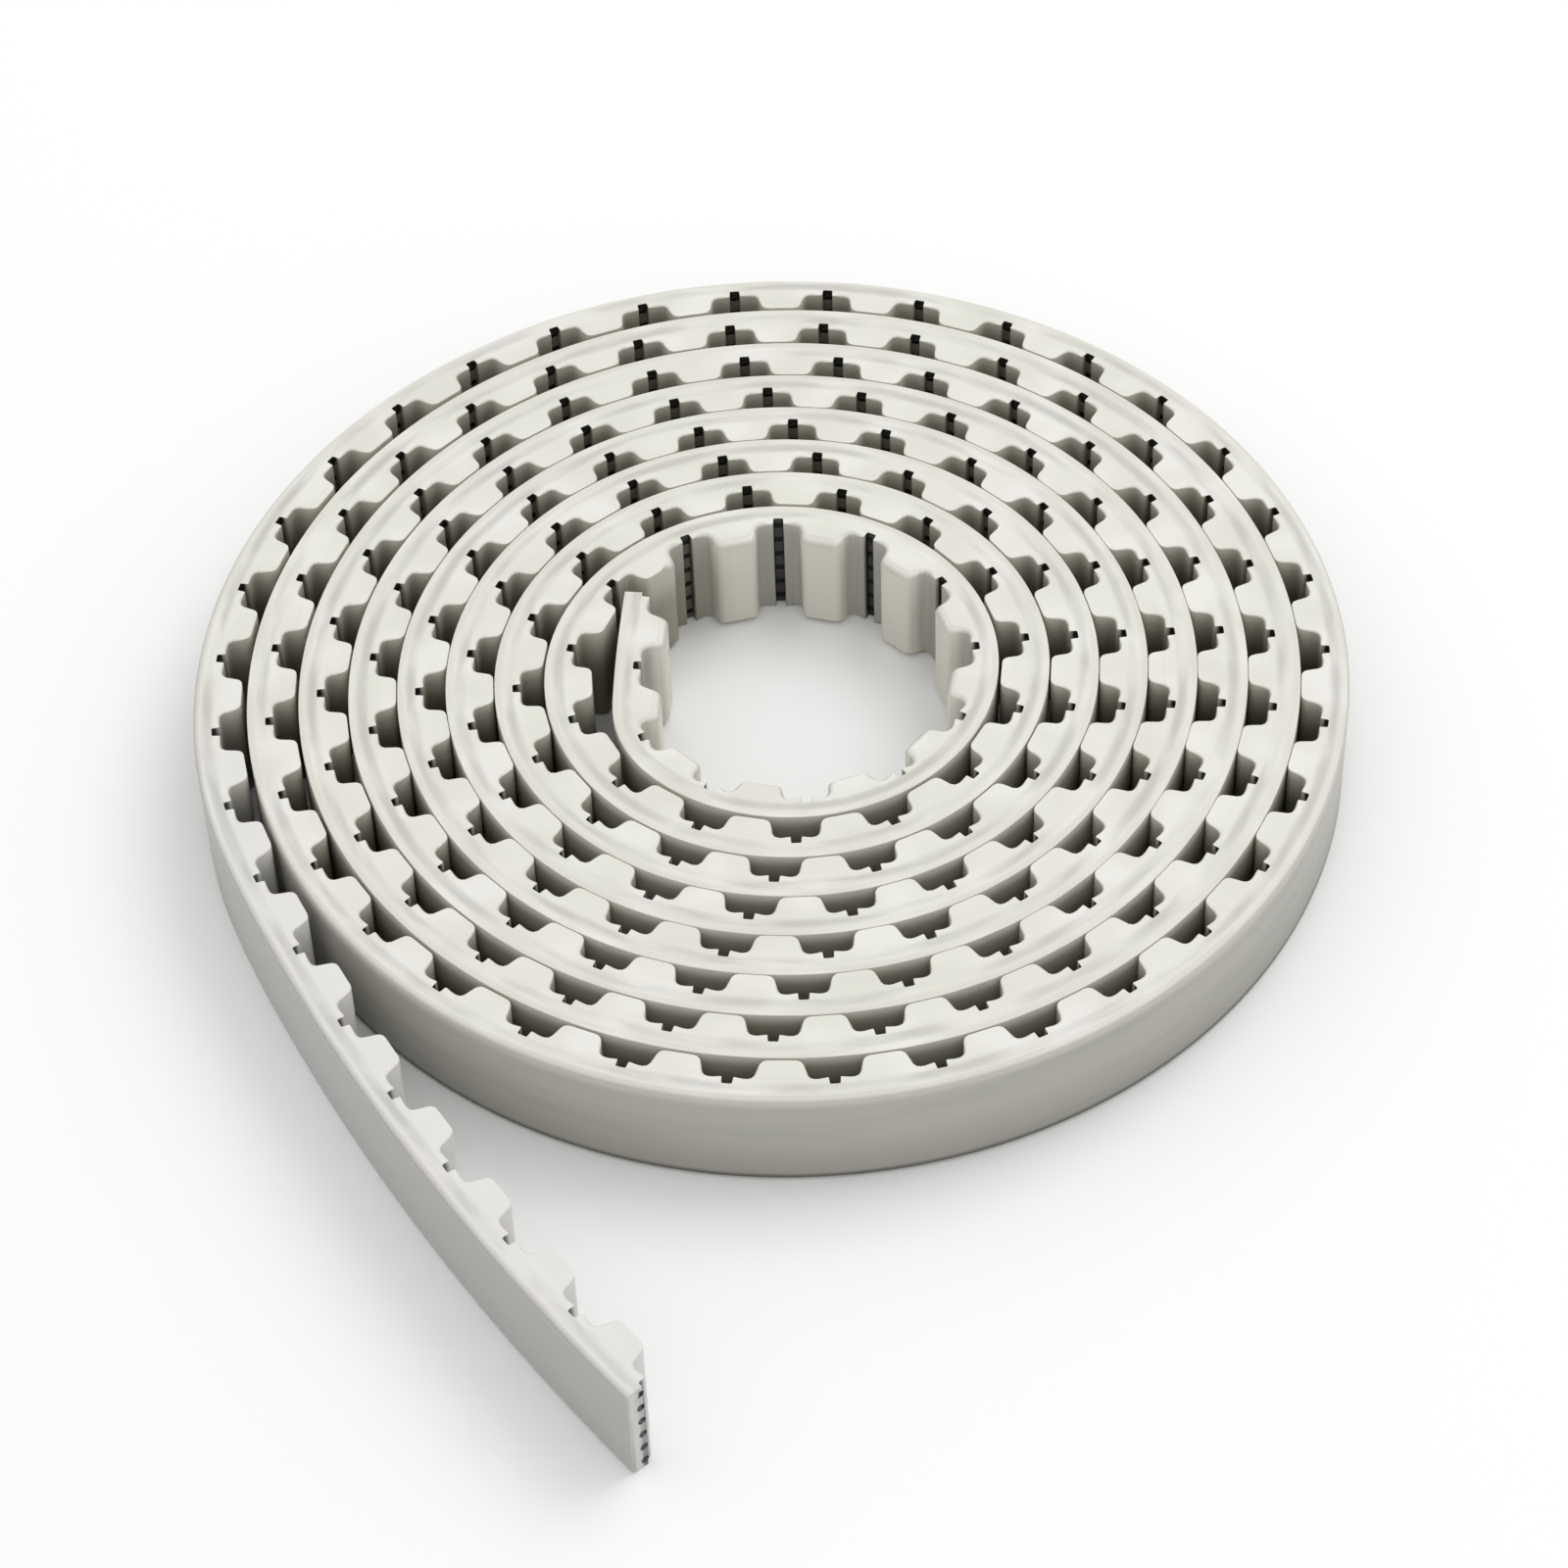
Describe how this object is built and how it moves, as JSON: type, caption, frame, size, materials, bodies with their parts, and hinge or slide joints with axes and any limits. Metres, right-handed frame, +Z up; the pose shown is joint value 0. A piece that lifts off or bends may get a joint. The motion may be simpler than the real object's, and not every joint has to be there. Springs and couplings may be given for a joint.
{
  "type": "timing belt",
  "caption": "Coil of open-ended polyurethane timing belt with trapezoidal teeth on its inner side and steel tension cords cast in; its free tail flexes.",
  "frame": {"origin": "middle of the coil, on the plane that the belt lies on", "axes": "+Z up, along the belt's width and the coil's axis; +Y away from the free tail, along the longest side"},
  "size_m": [0.1135, 0.1425, 0.012],
  "materials": {
    "polyurethane": "ivory cast polyurethane, satin, slightly translucent",
    "steel_cord": "stranded steel wire, dark between the strands"
  },
  "bodies": {
    "coil": {"belt_coil": "polyurethane", "tension_cord_1": "steel_cord", "tension_cord_2": "steel_cord", "tension_cord_3": "steel_cord", "tension_cord_4": "steel_cord", "tension_cord_5": "steel_cord", "tension_cord_6": "steel_cord"},
    "tail_1": {"tail_tooth_1": "polyurethane", "tail_cords_1": "steel_cord"},
    "tail_2": {"tail_tooth_2": "polyurethane", "tail_cords_2": "steel_cord"},
    "tail_3": {"tail_tooth_3": "polyurethane", "tail_cords_3": "steel_cord"},
    "tail_4": {"tail_tooth_4": "polyurethane", "tail_cords_4": "steel_cord"},
    "tail_5": {"tail_tooth_5": "polyurethane", "tail_cords_5": "steel_cord"},
    "tail_6": {"tail_tooth_6": "polyurethane", "tail_cords_6": "steel_cord"},
    "tail_7": {"tail_tooth_7": "polyurethane", "tail_cords_7": "steel_cord"}
  },
  "joints": [
    {"name": "tail_bend_1", "type": "hinge", "parent": "coil", "child": "tail_1", "pos_m": [-0.05124, -0.02519, 0.006], "axis": [0, 0, 1], "range_deg": [-20.3, 5.5], "stiffness_Nm_per_rad": 0.01},
    {"name": "tail_bend_2", "type": "hinge", "parent": "tail_1", "child": "tail_2", "pos_m": [-0.04709, -0.03429, 0.006], "axis": [0, 0, 1], "range_deg": [-20.3, 7.8], "stiffness_Nm_per_rad": 0.01},
    {"name": "tail_bend_3", "type": "hinge", "parent": "tail_2", "child": "tail_3", "pos_m": [-0.04255, -0.04319, 0.006], "axis": [0, 0, 1], "range_deg": [-20.3, 7.8], "stiffness_Nm_per_rad": 0.01},
    {"name": "tail_bend_4", "type": "hinge", "parent": "tail_3", "child": "tail_4", "pos_m": [-0.03767, -0.05192, 0.006], "axis": [0, 0, 1], "range_deg": [-20.3, 7.8], "stiffness_Nm_per_rad": 0.01},
    {"name": "tail_bend_5", "type": "hinge", "parent": "tail_4", "child": "tail_5", "pos_m": [-0.03246, -0.06046, 0.006], "axis": [0, 0, 1], "range_deg": [-20.3, 7.8], "stiffness_Nm_per_rad": 0.01},
    {"name": "tail_bend_6", "type": "hinge", "parent": "tail_5", "child": "tail_6", "pos_m": [-0.02693, -0.06879, 0.006], "axis": [0, 0, 1], "range_deg": [-20.3, 7.8], "stiffness_Nm_per_rad": 0.01},
    {"name": "tail_bend_7", "type": "hinge", "parent": "tail_6", "child": "tail_7", "pos_m": [-0.02108, -0.0769, 0.006], "axis": [0, 0, 1], "range_deg": [-20.3, 7.8], "stiffness_Nm_per_rad": 0.01}
  ]
}
